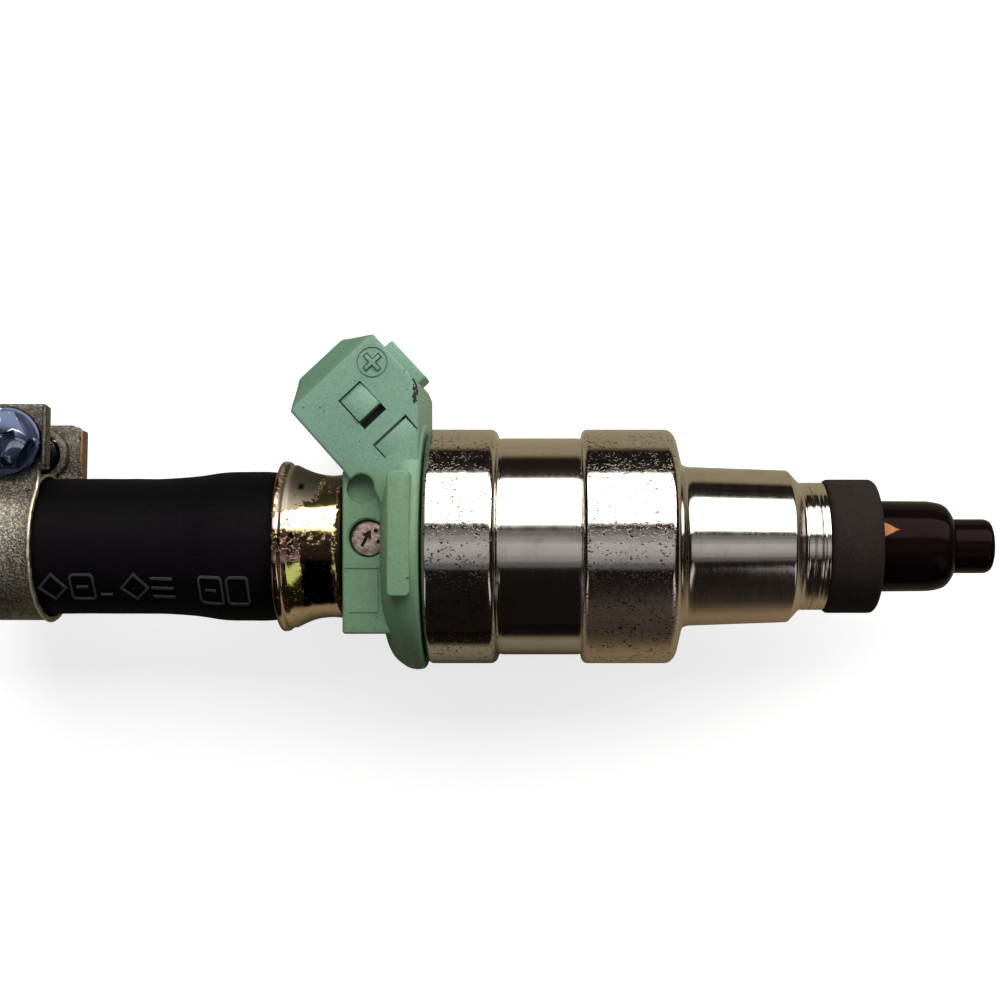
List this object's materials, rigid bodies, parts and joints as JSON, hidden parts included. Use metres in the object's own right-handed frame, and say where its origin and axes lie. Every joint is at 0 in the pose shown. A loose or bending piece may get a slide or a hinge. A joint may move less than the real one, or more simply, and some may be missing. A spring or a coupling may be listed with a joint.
{
  "type": "fuel injector",
  "caption": "Solenoid pintle fuel injector with a leaning electrical connector, a stepped steel casing, and a crimped hose stub with a screw clamp.",
  "frame": {"origin": "on the injector's axis, in the front face of the rubber ring that seats in the manifold", "axes": "+X along the axis toward the spray tip, +Y toward the side that the connector leans to, +Z across the two terminals"},
  "size_m": [0.1064, 0.0342, 0.0261],
  "materials": {
    "hose_rubber": "black fuel hose cover with a faint cloth grain",
    "clamp_steel": "dull zinc plated strip",
    "screw_steel": "bright zinc plate",
    "yellow_plate": "yellow chromated zinc, iridescent and worn",
    "core_steel": "plain machined magnetic steel",
    "filter_plastic": "natural nylon",
    "spring_steel": "drawn wire",
    "green_plastic": "moulded glass filled nylon, satin",
    "dark_metal": "stained stamped metal",
    "terminal_metal": "tinned brass",
    "bobbin_plastic": "black nylon",
    "copper": "enamelled copper wire",
    "seal_rubber": "black",
    "plated_steel": "dull nickel plate, pitted on the two rings",
    "needle_steel": "ground and lapped",
    "cushion_rubber": "weathered dark brown grey",
    "cap_plastic": "glossy brown black"
  },
  "bodies": {
    "injector_body": {"fuel_hose": "hose_rubber", "clamp_band": "clamp_steel", "hose_ferrule": "yellow_plate", "inlet_core": "core_steel", "inlet_filter": "filter_plastic", "adjusting_tube": "core_steel", "return_spring": "spring_steel", "connector_moulding": "green_plastic", "marking_disc": "dark_metal", "terminal_rear": "terminal_metal", "terminal_front": "terminal_metal", "coil_bobbin": "bobbin_plastic", "coil_winding": "copper", "bobbin_seal_back": "seal_rubber", "bobbin_seal_front": "seal_rubber", "steel_housing": "plated_steel", "stop_plate": "core_steel", "nozzle_body": "core_steel", "nozzle_seal": "seal_rubber", "manifold_seal": "cushion_rubber", "pintle_cap": "cap_plastic"},
    "needle_assembly": {"armature": "core_steel", "valve_needle": "needle_steel"},
    "screw": {"clamp_screw": "screw_steel"},
    "nut": {"clamp_nut": "clamp_steel"}
  },
  "joints": [
    {"name": "needle_lift", "type": "slide", "parent": "injector_body", "child": "needle_assembly", "axis": [-1, 0, 0], "range_m": [0, 0.00015], "stiffness_N_per_m": 3000, "deforming": ["return_spring"]},
    {"name": "clamp_screw_turn", "type": "hinge", "parent": "injector_body", "child": "screw", "pos_m": [-0.0879, 0.01007, -0.00079], "axis": [0, 0.0785, 0.9969], "range_deg": [0, 1801]},
    {"name": "clamp_nut_travel", "type": "slide", "parent": "injector_body", "child": "nut", "axis": [0, -0.0785, -0.9969], "range_m": [0, 0.0035]}
  ],
  "couplings": [
    {"joint": "clamp_screw_turn", "follows": "clamp_nut_travel", "rad_per_m": 8976}
  ]
}
